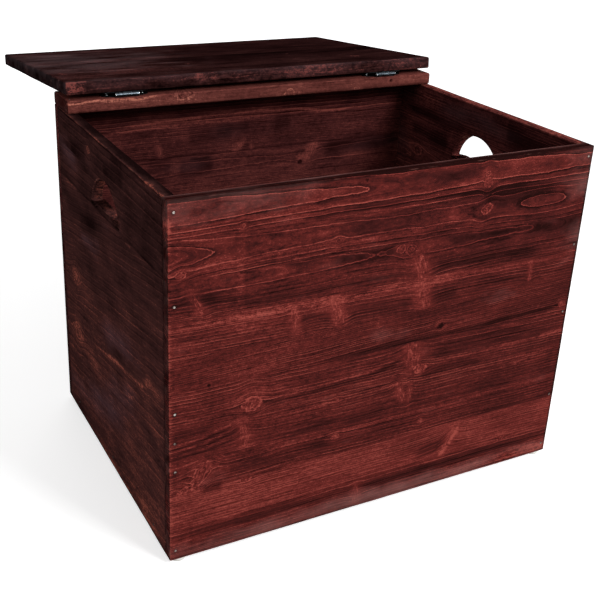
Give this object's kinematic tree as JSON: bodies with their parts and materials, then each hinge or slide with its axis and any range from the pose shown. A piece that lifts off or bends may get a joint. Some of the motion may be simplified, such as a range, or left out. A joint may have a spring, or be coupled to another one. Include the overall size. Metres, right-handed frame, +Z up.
{
  "type": "kindling box",
  "caption": "Open wooden box with flat walls, arched hand holes, a fixed hinge rail across the back and a flat lid that folds back on butterfly hinges, standing on round glides.",
  "frame": {"origin": "on the floor, under the middle of the whole box with its lid folded back", "axes": "+X to the right seen from the front, +Y from the front wall to the hinge rail and the folded-back lid, +Z up"},
  "size_m": [0.632, 0.7932, 0.5501],
  "materials": {
    "stained_wood": "dark red-brown stain with a satin varnish over softwood grain and knots",
    "zinc_steel": "bright zinc plating, slightly worn",
    "nail_steel": "bare wire nail steel, dulled",
    "white_plastic": "moulded, scuffed underneath"
  },
  "bodies": {
    "carcass": {"front_panel": "stained_wood", "back_panel": "stained_wood", "left_side": "stained_wood", "right_side": "stained_wood", "bottom_panel": "stained_wood", "hinge_rail": "stained_wood", "left_rail_leaf": "zinc_steel", "left_hinge_pin": "zinc_steel", "right_rail_leaf": "zinc_steel", "right_hinge_pin": "zinc_steel", "rail_screws": "zinc_steel", "front_nails": "nail_steel", "back_nails": "nail_steel", "floor_nails": "nail_steel", "rail_nails": "nail_steel", "glides": "white_plastic", "glide_nails": "nail_steel"},
    "lid": {"lid_panel": "stained_wood", "left_lid_leaf": "zinc_steel", "right_lid_leaf": "zinc_steel", "lid_screws": "zinc_steel"}
  },
  "joints": [
    {"name": "lid_hinge", "type": "hinge", "parent": "carcass", "child": "lid", "pos_m": [0, -0.00111, 0.528], "axis": [1, 0, 0], "range_deg": [0, 184.96]}
  ]
}
